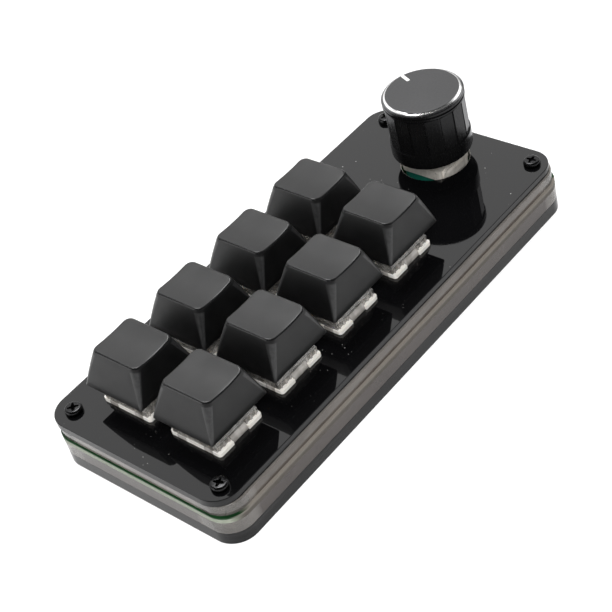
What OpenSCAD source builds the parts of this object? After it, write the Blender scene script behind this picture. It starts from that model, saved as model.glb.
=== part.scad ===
// Macro keypad: eight sprung keys and a push-to-click rotary knob, held in a
// bolted stack of acrylic sheets that clamps a full-size circuit board.
// +X runs towards the knob, +Y towards the back edge and +Z up.
// The origin is the centre of the underside.

/* [Case] */
// Length of the case along X
case_length = 131.0; // [129:0.1:150]
// Depth of the case along Y
case_depth = 58.2; // [57:0.1:75]
// Radius of the vertical corners
case_corner_r = 6.3; // [3:0.1:8]
// Thickness of the black bottom sheet
bottom_plate_t = 3.6; // [3:0.1:6]
// Thickness of the clear frame below the board
lower_spacer_t = 3.5; // [3.4:0.1:8]
// Thickness of the circuit board
board_t = 1.6; // [1:0.1:2]
// Thickness of the clear frame above the board
upper_spacer_t = 3.0; // [2.6:0.1:5]
// Thickness of the black top sheet
top_plate_t = 2.0; // [1.5:0.1:4]
// How far the top sheet's front edge lies behind the bottom sheet's
top_plate_setback = 1.2; // [0:0.1:1.5]
// How far the upper frame's front edge lies behind the bottom sheet's
upper_spacer_setback = 0.7; // [0:0.1:1.5]
// Width of the clear frames' rails
spacer_rail = 4.6; // [3:0.1:5.5]

/* [Screws] */
// Distance from a case end to the screw axes
screw_inset_x = 5.0; // [4.5:0.1:6]
// Distance from a case side to the screw axes
screw_inset_y = 5.7; // [4.8:0.1:6]
// Diameter of the screw shanks
screw_d = 2.5; // [2:0.1:2.6]
// Diameter of the pan heads
screw_head_d = 4.4; // [4:0.1:5.5]
// Height of the pan heads
screw_head_h = 1.4; // [1.2:0.1:2]
// Gap round a shank in its clearance hole
screw_gap = 0.15; // [0.1:0.01:0.3]
// Diameter of the countersunk heads under the case
flat_head_d = 4.7; // [4:0.1:5.2]
// Height of the countersunk heads
flat_head_h = 1.4; // [1:0.1:1.6]
// How far the countersunk heads lie inside the bottom face
flat_head_recess = 0.2; // [0.1:0.05:0.4]
// Width across flats of the hexagonal standoffs
standoff_af = 4.5; // [4:0.1:4.8]
// Depth of thread taken up in a standoff
thread_depth = 1.5; // [1:0.1:1.6]
// Side of the cross recess bars
cross_recess_w = 0.55; // [0.4:0.05:0.7]

/* [Key layout] */
// Distance between key columns
pitch_x = 21.4; // [19.1:0.1:22]
// Distance between key rows
pitch_y = 22.0; // [19.1:0.1:24]
// Distance from the case's -X end to the first key column
keys_inset = 18.3; // [17:0.1:20]
// Centre of the key field along Y
keys_y = 0.6; // [-1:0.1:1]

/* [Keycap] */
// Width of the cap's base along X
cap_w = 18.6; // [17.6:0.1:19]
// Depth of the cap's base along Y
cap_d = 18.6; // [17.6:0.1:19]
// Height of the cap at its top corners
cap_h = 10.0; // [9:0.05:11]
// How far each side face leans in
cap_side_lean = 3.1; // [2:0.1:3.3]
// How far the front face leans in
cap_front_lean = 1.15; // [1:0.05:2]
// How far the back face leans in
cap_back_lean = 3.0; // [2:0.1:3.2]
// Depth of the finger dish
cap_dish = 0.5; // [0.3:0.1:1.4]
// Thickness of the cap's side walls
cap_wall = 1.4; // [1:0.1:1.5]
// Thickness of the cap's roof under the dish
cap_roof = 1.5; // [1.2:0.1:2]
// Corner radius at the cap's base
cap_base_r = 0.5; // [0.4:0.1:2]
// Corner radius at the cap's top
cap_top_r = 1.9; // [1:0.1:2.5]
// Width of the softened top edge
cap_edge = 0.3; // [0.1:0.05:0.5]
// Outer diameter of the socket that grips the stem
cap_socket_d = 5.5; // [5.2:0.1:5.6]
// How far the skirt hangs below the top of the switch
cap_skirt_drop = 0.35; // [0.2:0.05:0.6]
// Thickness of the ribs inside the cap
cap_rib_t = 1.0; // [0.8:0.1:1.4]

/* [Switch] */
// Travel of a key
key_travel = 4.0; // [3:0.1:4]
// Side of the square cutout in the top sheet
cutout = 14.0; // [13.9:0.05:14]
// Gap between a switch body and its cutout
cutout_gap = 0.05; // [0.02:0.01:0.1]
// Width of the switch flange along X
flange_w = 14.4; // [14.3:0.1:15]
// Depth of the switch flange along Y
flange_d = 15.6; // [15.2:0.1:16]
// Thickness of the switch flange
flange_t = 1.0; // [0.8:0.1:1.2]
// Corner radius of the switch flange
flange_r = 0.8; // [0.4:0.1:1]
// Width of the notch in the flange's front and back edges
notch_w = 5.2; // [4:0.1:6]
// Depth of that notch
notch_d = 0.75; // [0.5:0.05:0.75]
// Wall of the switch housing
housing_wall = 1.1; // [0.9:0.1:1.2]
// Thickness of the switch floor on the board
housing_floor = 0.8; // [0.6:0.1:1]
// Height of the clear housing above the flange
housing_top_h = 5.6; // [5.4:0.1:6]
// Height of the clear housing's straight band
housing_band_h = 1.4; // [1:0.1:1.6]
// Width of the clear housing's roof along X
roof_w = 10.8; // [10.4:0.1:11.2]
// Depth of the clear housing's roof along Y
roof_d = 10.4; // [10:0.1:10.8]
// Thickness of the clear housing's roof
roof_t = 1.0; // [0.8:0.1:1.2]
// Width of each clip leg
leg_w = 2.6; // [2:0.1:3]
// Distance of the clip legs from the switch centre along Y
leg_y = 4.1; // [3.6:0.1:4.4]
// Thickness of each clip leg
leg_t = 0.5; // [0.4:0.05:0.6]
// How far the clip legs reach below the flange
leg_drop = 1.5; // [1.2:0.1:1.8]
// Diameter of the post under the switch
post_d = 4.0; // [3.9:0.05:4]
// Length of that post below the board's top face
post_length = 3.3; // [3:0.1:3.6]
// Thickness of the closed end of the post
post_end = 0.6; // [0.4:0.1:0.8]
// Height of the spring's guide sleeve above the floor
sleeve_h = 3.7; // [3:0.1:4]

/* [Stem and spring] */
// Width of the stem's platform along X
platform_w = 7.2; // [7:0.1:7.4]
// Depth of the stem's platform along Y
platform_d = 5.8; // [5.7:0.1:6]
// Gap round the platform in the roof
platform_gap = 0.1; // [0.05:0.01:0.2]
// How far the shoulder reaches past the platform on each side
shoulder = 0.8; // [0.5:0.1:0.9]
// Height of the stem's block under the roof
block_h = 3.5; // [3:0.1:3.6]
// Roof over the spring inside the block
block_roof = 0.5; // [0.4:0.1:0.8]
// Diameter of the guide pole
pole_d = 2.8; // [2.6:0.1:3]
// Gap between the pole and its sleeve
pole_gap = 0.05; // [0.02:0.01:0.1]
// Length of each bar of the cross
cross_w = 4.0; // [3.9:0.05:4.1]
// Thickness of each bar of the cross
cross_t = 1.2; // [1.1:0.05:1.3]
// Height of the cross above the platform
cross_h = 3.6; // [3.2:0.1:3.8]
// Gap round the cross in the cap's socket
cross_gap = 0.03; // [0.02:0.01:0.05]
// Thickness of the spring's wire
spring_wire = 0.3; // [0.25:0.01:0.34]
// Mean diameter of the spring
spring_d = 4.55; // [4.5:0.01:4.6]
// Number of curls in the spring
spring_curls = 9; // [8:1:10]

/* [Knob] */
// Distance from the case's +X end to the knob's axis
knob_inset = 13.3; // [12.5:0.1:15]
// Centre of the knob along Y
knob_y = 1.0; // [-2:0.1:3]
// Diameter of the knob
knob_d = 21.0; // [20:0.1:23]
// Height of the knob
knob_h = 17.0; // [16:0.1:18]
// Gap between the knob and the top sheet
knob_lift = 4.45; // [3.5:0.05:5]
// Diameter of the flat top
knob_top_d = 18.8; // [18:0.1:19.5]
// Height of the bright bevel round the top
bevel_h = 0.7; // [0.4:0.1:1]
// Height of the rim below the bevel
rim_h = 0.7; // [0.5:0.1:1]
// Width of the two turned grooves
groove_w = 0.4; // [0.3:0.05:0.5]
// Depth of the two turned grooves
groove_depth = 0.4; // [0.2:0.05:0.6]
// Height of the lip between the grooves
lip_h = 0.5; // [0.4:0.1:0.8]
// Height of the plain band at the foot
band_h = 4.25; // [3.5:0.05:5]
// Number of grip panels
panels = 16; // [12:1:20]
// How far the flat panels lie inside the band
panel_depth = 0.4; // [0.3:0.05:0.5]
// Width of the grooves between panels
flute_w = 0.5; // [0.3:0.05:0.6]
// Depth of the grooves between panels
flute_depth = 0.55; // [0.3:0.05:0.6]
// Diameter of the clearance inside the foot
knob_bore_d = 16.0; // [14.5:0.1:16.5]
// Diameter of the plastic core
core_d = 12.8; // [11:0.1:13]
// Thickness of the metal over the core
knob_crown_t = 1.9; // [1.5:0.1:2.5]
// Length of the index slot
mark_l = 3.2; // [2:0.1:5]
// Width of the index slot
mark_w = 0.9; // [0.6:0.1:1.2]
// Depth of the index slot
mark_depth = 0.15; // [0.1:0.05:0.3]
// Angle of the index slot, clockwise from the back edge
mark_angle = 21; // [0:1:359]
// Least gap between the encoder's cover and the hole in the top sheet
knob_hole_gap = 0.55; // [0.3:0.05:1.2]

/* [Encoder] */
// Width of the encoder's plastic base along X
encoder_w = 11.6; // [11.2:0.1:12]
// Depth of the encoder's plastic base along Y
encoder_d = 11.6; // [11.2:0.1:12]
// Height of the encoder's plastic base
encoder_h = 5.0; // [5:0.1:5.4]
// How far the metal cover's skirt laps over the base
cover_lap = 1.2; // [0.8:0.1:2]
// Thickness of the metal cover's sheet
cover_sheet = 0.35; // [0.3:0.05:0.5]
// Thickness of the metal cover's top
cover_top_t = 1.5; // [1:0.1:1.6]
// Gap between the cover and the base
cover_gap = 0.05; // [0.02:0.01:0.1]
// Width of each mounting leg
mount_leg_w = 10.2; // [6:0.1:10.4]
// Width of each leg's tab through the board
mount_tab_w = 2.2; // [1.8:0.1:2.6]
// How far the tabs and pins reach below the board's top face
tail_length = 3.2; // [2.4:0.1:3.4]
// Diameter of the bushing
bushing_d = 7.0; // [6.8:0.1:8]
// Height of the bushing above the cover
bushing_h = 6.8; // [5:0.1:6.8]
// Diameter of the shaft
shaft_d = 6.0; // [5.8:0.1:6]
// Gap between the shaft and its bushing
shaft_gap = 0.03; // [0.02:0.01:0.1]
// Length of the shaft above the cover
shaft_length = 15.0; // [13:0.1:16]
// Thickness of the shaft across its flat
shaft_flat = 4.5; // [4.2:0.1:5]
// Diameter of the shaft's tip
tip_d = 4.0; // [3.4:0.1:4.2]
// Thickness of the tip across its flat
tip_flat = 3.2; // [2.8:0.1:3.3]
// Travel of the push switch
push_travel = 0.5; // [0.3:0.05:0.5]
// Diameter of the click rotor
rotor_d = 9.4; // [8:0.1:9.4]
// Thickness of the click rotor
rotor_t = 1.1; // [0.8:0.1:1.2]
// Number of clicks in a turn
detents = 20; // [12:1:30]
// Thickness of the push switch's plunger
plunger_t = 0.9; // [0.7:0.1:1]

/* [Electronics] */
// Width of the socket
usb_w = 8.94; // [8.8:0.01:9.2]
// Height of the socket
usb_h = 3.26; // [3:0.01:3.3]
// Depth of the socket
usb_d = 7.35; // [6.5:0.05:8]
// Sheet thickness of the socket
usb_sheet = 0.3; // [0.25:0.05:0.4]
// Length of the socket's tongue
usb_tongue = 4.6; // [4:0.1:5]
// How far the socket's mouth lies inside the back edge
usb_inset = 0.3; // [0:0.1:1]
// Side of the controller chip
chip_w = 7.0; // [5:0.1:8]
// Thickness of the controller chip
chip_t = 1.0; // [0.8:0.1:1.4]
// Gap between the controller chip and the socket
chip_gap = 0.6; // [0.3:0.1:1]
// Length of a diode's body
diode_l = 2.7; // [2.4:0.1:3]

/* [Hidden] */
$fn = 64;
COLUMNS = 4;
ROWS = 2;
KEYS = COLUMNS * ROWS;
function numbered(name) = [for (k = [1:KEYS]) str(name, "_", k)];
CASE_NODES = ["bottom_plate", "lower_spacer", "circuit_board", "upper_spacer", "top_plate",
    "top_screws", "standoffs", "bottom_screws", "usb_socket", "controller_chip", "diodes",
    "contact_pins"];
KNOB_NODES = ["encoder_base", "encoder_pins", "encoder_cover", "encoder_rotor",
    "encoder_plunger", "encoder_shaft", "knob_core", "knob_body"];

// Overshoot of a cut past the face that it opens
cut = 1;
// Smallest gap left between pieces that only sit beside each other
seat_gap = 0.1;

// Levels of the stack
z_lower = bottom_plate_t;
z_board = z_lower + lower_spacer_t;
z_board_top = z_board + board_t;
z_plate_under = z_board_top + upper_spacer_t;
z_plate = z_plate_under + top_plate_t;

// Spring wire: six-sided rings along a helix, eight to a curl
RINGS = 8;
SIDES = 6;

// Levels of a switch
z_floor = z_board_top + housing_floor;
z_flange = z_plate + flange_t;
z_roof = z_flange + housing_top_h;
z_shoulder = z_roof - roof_t - seat_gap;
z_block = z_shoulder - block_h;
z_spring_top = z_shoulder - block_roof;
z_bore_end = z_board_top - post_length + post_end;
z_pole_end = z_bore_end + key_travel + 2 * seat_gap;
z_cap = z_roof - cap_skirt_drop;
body_side = cutout - 2 * cutout_gap;
lower_body_w = body_side - 0.6;
lower_body_d = body_side - 1.0;
upper_body_h = 1.9;
cavity_w = lower_body_w - 2 * housing_wall;
cavity_d = lower_body_d - 2 * housing_wall;
block_w = platform_w + 2 * shoulder;
block_d = platform_d + 2 * shoulder;
spring_recess_d = spring_d + spring_wire + 0.3;
sleeve_d = spring_d * cos(180 / RINGS) - spring_wire - 0.1;
sleeve_bore_d = pole_d + 2 * pole_gap;
socket_bottom = z_roof - z_cap;
ceiling = cap_h - cap_dish - cap_roof;
rib_bottom = socket_bottom + key_travel + 2 * seat_gap;

// Levels of the encoder and the knob
z_encoder_top = z_board_top + encoder_h;
z_cover_top = z_encoder_top + cover_top_t;
z_bushing = z_cover_top + bushing_h;
z_shaft_top = z_cover_top + shaft_length;
z_knob = z_plate + knob_lift;
z_core = max(z_bushing, z_knob) + push_travel + 0.3;
z_core_top = z_knob + knob_h - knob_crown_t;
collar_t = 0.8;
collar_d = shaft_d + 1.4;
z_collar = z_encoder_top - seat_gap - collar_t;
z_rotor_top = z_collar - push_travel - seat_gap;
z_tip = z_rotor_top - rotor_t - 0.3;
z_ledge = z_rotor_top - rotor_t;
z_plunger = z_tip - plunger_t;
z_well = z_plunger - push_travel - seat_gap;
knob_r = knob_d / 2;

// The knob stands off the +X end and the key field off the -X end
knob_x = case_length / 2 - knob_inset;
keys_x = -case_length / 2 + keys_inset + (COLUMNS - 1) / 2 * pitch_x;

// The encoder's cover, and the hole that clears its corners
cover_w = encoder_w + 2 * (cover_gap + cover_sheet);
cover_d = encoder_d + 2 * (cover_gap + cover_sheet);
cover_r = 0.6;
cover_reach = norm([cover_w / 2 - cover_r, cover_d / 2 - cover_r]) + cover_r;
knob_hole_d = 2 * (cover_reach + knob_hole_gap);

// Pins of a switch, as offsets from its centre
contact_points = [[-3.81, 2.54], [2.54, 4.7]];
contact_w = 1.2;
contact_t = 0.3;
contact_tail = 3.3;
contact_gap = 0.1;
contact_hole_d = 1.6;
contact_tops = [0.8, 3.4];

// Pins of the encoder: three for the dial, two for the push switch
encoder_points = [[-2.5, -1], [0, -1], [2.5, -1], [-2.5, 1], [2.5, 1]];
encoder_pin_w = 0.8;
encoder_pin_t = 0.3;
encoder_pin_x = encoder_w / 2 + 0.3;

function key_centre(k) = [
    keys_x + (k % COLUMNS - (COLUMNS - 1) / 2) * pitch_x,
    keys_y + ((ROWS - 1) / 2 - floor(k / COLUMNS)) * pitch_y
];

// The socket and the chip stand between the last two columns
usb_x = (key_centre(COLUMNS - 2)[0] + key_centre(COLUMNS - 1)[0]) / 2;

function screw_points() = [for (sx = [-1, 1], sy = [-1, 1])
    [sx * (case_length / 2 - screw_inset_x), sy * (case_depth / 2 - screw_inset_y)]];

// Rectangle with round corners, centred on the origin
module round_rect(w, d, r) {
    union() {
        square([w - 2 * r, d], center = true);
        square([w, d - 2 * r], center = true);
        for (sx = [-1, 1], sy = [-1, 1])
            translate([sx * (w / 2 - r), sy * (d / 2 - r)])
                circle(r = r);
    }
}

// Plate with round corners, its lower face at z
module slab(w, d, r, z, h) {
    translate([0, 0, z])
        linear_extrude(height = h)
            round_rect(w, d, r);
}

// Block whose lower face is w0 by d0 and whose upper face is w1 by d1
module tapered_block(w0, d0, w1, d1, z, h) {
    side = [[-w0 / 2, 0], [w0 / 2, 0], [w1 / 2, h], [-w1 / 2, h]];
    end = [[-d0 / 2, 0], [d0 / 2, 0], [d1 / 2, h], [-d1 / 2, h]];
    translate([0, 0, z])
        intersection() {
            rotate([90, 0, 0])
                linear_extrude(height = max(d0, d1) + 2 * cut, center = true)
                    polygon(side);
            rotate([90, 0, 90])
                linear_extrude(height = max(w0, w1) + 2 * cut, center = true)
                    polygon(end);
        }
}

module box_at(w, d, z0, z1) {
    translate([-w / 2, -d / 2, z0])
        cube([w, d, z1 - z0]);
}

module rod(d, z0, z1) {
    translate([0, 0, z0])
        cylinder(d = d, h = z1 - z0);
}

module at_key(k) {
    translate(key_centre(k))
        children();
}

module at_knob() {
    translate([knob_x, knob_y, 0])
        children();
}

module at_screws() {
    for (p = screw_points())
        translate(p)
            children();
}

// Outline of a case sheet, with its front edge set back
module sheet_outline(setback) {
    translate([0, setback / 2])
        round_rect(case_length, case_depth - setback, case_corner_r);
}

module sheet(z, h, setback) {
    translate([0, 0, z])
        linear_extrude(height = h)
            sheet_outline(setback);
}

// Open frame that keeps a solid boss round each screw
module frame_ring(z, h, setback, boss_d) {
    inner_r = max(case_corner_r - spacer_rail, 1);
    translate([0, 0, z])
        linear_extrude(height = h)
            difference() {
                sheet_outline(setback);
                difference() {
                    round_rect(case_length - 2 * spacer_rail, case_depth - 2 * spacer_rail, inner_r);
                    at_screws() circle(d = boss_d);
                }
            }
}

screw_hole_d = screw_d + 2 * screw_gap;
standoff_hole_d = standoff_af / cos(30) + 0.3;
boss_wall = 1.8;
usb_gap = 0.3;

module bottom_plate() {
    color([0.03, 0.03, 0.035])
        difference() {
            sheet(0, bottom_plate_t, 0);
            at_screws() {
                rod(screw_hole_d, -cut, bottom_plate_t + cut);
                translate([0, 0, flat_head_recess])
                    cylinder(d1 = flat_head_d + 2 * screw_gap, d2 = screw_hole_d, h = flat_head_h);
                rod(flat_head_d + 2 * screw_gap, -cut, flat_head_recess);
            }
        }
}

module lower_spacer() {
    notch = usb_w + 2 * usb_gap;
    color([0.75, 0.74, 0.7, 0.5])
        difference() {
            frame_ring(z_lower, lower_spacer_t, 0, standoff_hole_d + 2 * boss_wall);
            at_screws() rod(standoff_hole_d, z_lower - cut, z_board + cut);
            translate([usb_x - notch / 2, case_depth / 2 - spacer_rail - cut, z_lower - cut])
                cube([notch, spacer_rail + 2 * cut, lower_spacer_t + 2 * cut]);
        }
}

module circuit_board() {
    color([0.05, 0.3, 0.18])
        difference() {
            sheet(z_board, board_t, 0);
            at_screws() rod(screw_hole_d, z_board - cut, z_board_top + cut);
            for (k = [0:KEYS - 1])
                at_key(k) {
                    rod(post_d + 2 * seat_gap, z_board - cut, z_board_top + cut);
                    for (p = contact_points)
                        translate(p) rod(contact_hole_d, z_board - cut, z_board_top + cut);
                }
            at_knob() {
                for (p = encoder_points)
                    translate([p[1] * encoder_pin_x, p[0]])
                        rod(encoder_pin_w + 4 * seat_gap, z_board - cut, z_board_top + cut);
                for (s = [-1, 1])
                    translate([0, s * mount_leg_y()])
                        box_at(mount_tab_w + 0.4, cover_sheet + 0.4, z_board - cut, z_board_top + cut);
            }
        }
}

module upper_spacer() {
    color([0.78, 0.77, 0.73, 0.5])
        difference() {
            frame_ring(z_board_top, upper_spacer_t, upper_spacer_setback,
                screw_hole_d + 2 * boss_wall + 2);
            at_screws() rod(screw_hole_d, z_board_top - cut, z_plate_under + cut);
        }
}

module top_plate() {
    color([0.03, 0.03, 0.035])
        difference() {
            sheet(z_plate_under, top_plate_t, top_plate_setback);
            at_screws() rod(screw_hole_d, z_plate_under - cut, z_plate + cut);
            for (k = [0:KEYS - 1])
                at_key(k) box_at(cutout, cutout, z_plate_under - cut, z_plate + cut);
            at_knob() rod(knob_hole_d, z_plate_under - cut, z_plate + cut);
        }
}

// Pan head: a short wall under a shallow dome, with a cross recess
module pan_head() {
    dome_h = screw_head_h * 0.55;
    wall_h = screw_head_h - dome_h;
    dome_r = (pow(screw_head_d / 2, 2) + dome_h * dome_h) / (2 * dome_h);
    difference() {
        intersection() {
            rod(screw_head_d, 0, screw_head_h);
            translate([0, 0, wall_h + dome_h - dome_r]) sphere(r = dome_r);
        }
        for (a = [0, 90])
            rotate([0, 0, a])
                box_at(screw_head_d * 0.58, cross_recess_w, screw_head_h - 0.75, screw_head_h + cut);
    }
}

module top_screws() {
    color([0.06, 0.06, 0.06])
        at_screws()
            union() {
                translate([0, 0, z_plate]) pan_head();
                rod(screw_d, z_board - thread_depth, z_plate + 0.01);
            }
}

module standoffs() {
    color([0.8, 0.78, 0.72])
        at_screws()
            difference() {
                translate([0, 0, z_lower])
                    cylinder(d = standoff_af / cos(30), h = lower_spacer_t, $fn = 6);
                rod(screw_d + 0.06, z_lower - cut, z_board + cut);
            }
}

module bottom_screws() {
    color([0.06, 0.06, 0.06])
        at_screws()
            difference() {
                union() {
                    translate([0, 0, flat_head_recess])
                        cylinder(d1 = flat_head_d, d2 = screw_d, h = flat_head_h);
                    rod(screw_d, flat_head_recess + flat_head_h - 0.01, z_lower + thread_depth);
                }
                for (a = [0, 90])
                    rotate([0, 0, a])
                        box_at(flat_head_d * 0.55, cross_recess_w, -cut, flat_head_recess + 0.7);
            }
}

// Open metal shell with a tongue, hung under the board at the back edge
module usb_socket() {
    corner = usb_h / 2 - 0.15;
    color([0.75, 0.75, 0.78])
        translate([usb_x, case_depth / 2 - usb_inset, z_board - usb_h / 2])
            rotate([90, 0, 0])
                union() {
                    difference() {
                        linear_extrude(height = usb_d) round_rect(usb_w, usb_h, corner);
                        translate([0, 0, -cut])
                            linear_extrude(height = usb_d - usb_sheet + cut)
                                round_rect(usb_w - 2 * usb_sheet, usb_h - 2 * usb_sheet, corner - usb_sheet);
                    }
                    translate([0, 0, usb_d - usb_sheet - usb_tongue])
                        linear_extrude(height = usb_tongue + usb_sheet / 2)
                            square([usb_w - 2.3, 0.7], center = true);
                }
}

module controller_chip() {
    color([0.08, 0.08, 0.09])
        translate([usb_x, case_depth / 2 - usb_inset - usb_d - chip_gap - chip_w / 2, z_board - chip_t])
            difference() {
                slab(chip_w, chip_w, 0.3, 0, chip_t);
                translate([chip_w / 2 - 1, chip_w / 2 - 1, 0])
                    rod(0.8, -cut, 0.15);
            }
}

module diodes() {
    body_h = 1.1;
    color([0.1, 0.1, 0.1])
        for (k = [0:KEYS - 1])
            at_key(k)
                translate([0, -5.6, z_board])
                    union() {
                        tapered_block(diode_l, 1.6, diode_l - 0.3, 1.4, -body_h, body_h);
                        box_at(diode_l + 1.0, 0.6, -0.15, 0);
                    }
}

// Solder tails and contact leaves of the switches
module contact_pins() {
    color([0.8, 0.6, 0.3])
        for (k = [0:KEYS - 1], i = [0, 1])
            at_key(k)
                translate(contact_points[i])
                    union() {
                        box_at(contact_w, contact_t, z_board_top - contact_tail,
                            z_floor + contact_tops[i]);
                        box_at(contact_w + 1.2, contact_t, z_floor, z_floor + contact_tops[i]);
                    }
}

module switch_base(k) {
    clip_x = body_side / 2 - leg_t;
    color([0.9, 0.88, 0.85])
        at_key(k)
            difference() {
                union() {
                    translate([0, 0, z_plate])
                        linear_extrude(height = flange_t)
                            difference() {
                                round_rect(flange_w, flange_d, flange_r);
                                for (s = [-1, 1])
                                    translate([0, s * flange_d / 2])
                                        square([notch_w, 2 * notch_d], center = true);
                            }
                    slab(body_side, body_side, 0.4, z_plate - upper_body_h, upper_body_h + 0.01);
                    slab(lower_body_w, lower_body_d, 0.6, z_board_top,
                        z_plate - upper_body_h - z_board_top + 0.01);
                    rod(post_d, z_board_top - post_length, z_floor);
                }
                difference() {
                    slab(cavity_w, cavity_d, 0.4, z_floor, z_flange - z_floor + cut);
                    rod(sleeve_d, z_floor - cut, z_floor + sleeve_h);
                }
                rod(sleeve_bore_d, z_bore_end, z_flange + cut);
                for (p = contact_points)
                    translate(p)
                        box_at(contact_w + contact_gap, contact_t + contact_gap, z_board_top - cut,
                            z_floor + cut);
                for (sx = [-1, 1], sy = [-1, 1])
                    translate([sx * (clip_x + leg_t), sy * leg_y, 0])
                        box_at(2 * leg_t + 2 * seat_gap, leg_w + 2 * seat_gap,
                            z_plate - leg_drop - seat_gap, z_flange + cut);
            }
}

module switch_top(k) {
    band_w = body_side;
    band_d = body_side - 0.3;
    wall = housing_wall - 0.1;
    band_top = z_flange + housing_band_h;
    taper_h = z_roof - band_top;
    ceiling_z = z_roof - roof_t;
    // Share of the taper that lies below the ceiling
    share = (ceiling_z - band_top) / taper_h;
    inner_w = band_w + (roof_w - band_w) * share - 2 * wall;
    inner_d = band_d + (roof_d - band_d) * share - 2 * wall;
    color([0.85, 0.85, 0.85, 0.45])
        at_key(k)
            union() {
                difference() {
                    union() {
                        box_at(band_w, band_d, z_flange, band_top);
                        tapered_block(band_w, band_d, roof_w, roof_d, band_top, taper_h);
                    }
                    box_at(band_w - 2 * wall, band_d - 2 * wall, z_flange - cut, band_top);
                    tapered_block(band_w - 2 * wall, band_d - 2 * wall, inner_w, inner_d, band_top,
                        ceiling_z - band_top);
                    box_at(platform_w + 2 * platform_gap, platform_d + 2 * platform_gap,
                        ceiling_z - cut, z_roof + cut);
                }
                for (sx = [-1, 1], sy = [-1, 1])
                    translate([sx * (body_side / 2 - leg_t / 2), sy * leg_y, 0])
                        box_at(leg_t, leg_w, z_plate - leg_drop, z_flange + 0.3);
            }
}

module stem(k) {
    color([0.25, 0.45, 0.75])
        at_key(k)
            union() {
                difference() {
                    box_at(block_w, block_d, z_block, z_shoulder);
                    rod(spring_recess_d, z_block - cut, z_spring_top);
                }
                box_at(platform_w, platform_d, z_shoulder - 0.01, z_roof);
                rod(pole_d, z_pole_end, z_spring_top + 0.01);
                box_at(cross_w, cross_t, z_roof - 0.01, z_roof + cross_h);
                box_at(cross_t, cross_w, z_roof - 0.01, z_roof + cross_h);
            }
}

spring_z0 = z_floor + spring_wire / 2 + 0.02;
spring_z1 = z_spring_top - spring_wire / 2 - 0.02;
spring_steps = spring_curls * RINGS;
spring_pitch = (spring_z1 - spring_z0) / spring_curls;

function spring_point(i) = [
    spring_d / 2 * cos(360 * i / RINGS),
    spring_d / 2 * sin(360 * i / RINGS),
    spring_z0 + spring_pitch * i / RINGS
];

function spring_ring(i) = [for (s = [0:SIDES - 1])
    let (a = 360 * i / RINGS, b = 360 * s / SIDES, out = spring_wire / 2 * cos(b))
        spring_point(i) + [out * cos(a), out * sin(a), spring_wire / 2 * sin(b)]];

// Least distance between the wire and itself, measured on the helix points
function spring_self_gap() = min([for (i = [0:spring_steps - RINGS / 2], j = [i + RINGS / 2:spring_steps])
    norm(spring_point(j) - spring_point(i))]) - spring_wire;

function tube_faces(rings, sides) = concat(
    [[for (s = [0:sides - 1]) s]],
    [for (i = [0:rings - 2], s = [0:sides - 1])
        [i * sides + s, (i + 1) * sides + s, i * sides + (s + 1) % sides]],
    [for (i = [0:rings - 2], s = [0:sides - 1])
        [(i + 1) * sides + s, (i + 1) * sides + (s + 1) % sides, i * sides + (s + 1) % sides]],
    [[for (s = [sides - 1:-1:0]) (rings - 1) * sides + s]]
);

module spring(k) {
    color([0.8, 0.8, 0.82])
        at_key(k)
            polyhedron(
                points = [for (i = [0:spring_steps]) each spring_ring(i)],
                faces = tube_faces(spring_steps + 1, SIDES),
                convexity = 4
            );
}

echo(str("least gap of the spring wire to itself, mm: ", spring_self_gap()));

// Points of a rounded rectangle at height z, its centre shifted along Y
CORNER_STEPS = 5;
function rect_ring(w, d, y, r, z) = [for (q = [0:3], i = [0:CORNER_STEPS])
    let (a = 90 * q + 90 * i / CORNER_STEPS,
        sx = (q == 0 || q == 3) ? 1 : -1,
        sy = (q < 2) ? 1 : -1)
        [sx * (w / 2 - r) + r * cos(a), y + sy * (d / 2 - r) + r * sin(a), z]];

// Ring of the cap at height z, drawn in by the given amount
function cap_ring(z, inset) =
    let (t = z / cap_h,
        w = cap_w - 2 * cap_side_lean * t,
        d = cap_d - (cap_front_lean + cap_back_lean) * t,
        y = (cap_front_lean - cap_back_lean) / 2 * t,
        r = cap_base_r + (cap_top_r - cap_base_r) * t)
        rect_ring(w - 2 * inset, d - 2 * inset, y, max(r - inset, 0.3), z);

module loft(rings) {
    sides = len(rings[0]);
    polyhedron(
        points = [for (ring = rings) each ring],
        faces = tube_faces(len(rings), sides),
        convexity = 4
    );
}

module cap_socket() {
    difference() {
        union() {
            rod(cap_socket_d, socket_bottom, ceiling + 0.5);
            for (a = [0, 90])
                rotate([0, 0, a])
                    intersection() {
                        box_at(cap_w, cap_rib_t, rib_bottom, ceiling + 0.3);
                        cylinder(r = cap_w, h = cap_h);
                    }
        }
        for (a = [0, 90])
            rotate([0, 0, a])
                box_at(cross_w + 2 * cross_gap, cross_t + 2 * cross_gap, socket_bottom - cut,
                    socket_bottom + cross_h + 0.2);
    }
}

module keycap(k) {
    top_w = cap_w - 2 * cap_side_lean;
    dish_r = (pow(top_w / 2, 2) + cap_dish * cap_dish) / (2 * cap_dish);
    color([0.07, 0.07, 0.075])
        at_key(k)
            translate([0, 0, z_cap])
                difference() {
                    union() {
                        difference() {
                            loft([cap_ring(0, 0), cap_ring(cap_h / 2, -0.12), cap_ring(cap_h - cap_edge, 0),
                                cap_ring(cap_h, cap_edge * 0.4)]);
                            loft([cap_ring(-0.5, cap_wall), cap_ring(ceiling, cap_wall)]);
                        }
                        intersection() {
                            cap_socket();
                            loft([cap_ring(0, cap_wall / 2), cap_ring(ceiling + 0.6, cap_wall / 2)]);
                        }
                    }
                    translate([0, 0, cap_h - cap_dish + dish_r])
                        rotate([90, 0, 0])
                            cylinder(r = dish_r, h = cap_d + 2 * cut, center = true, $fn = 128);
                }
}

function mount_leg_y() = encoder_d / 2 + cover_gap + cover_sheet / 2;

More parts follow.
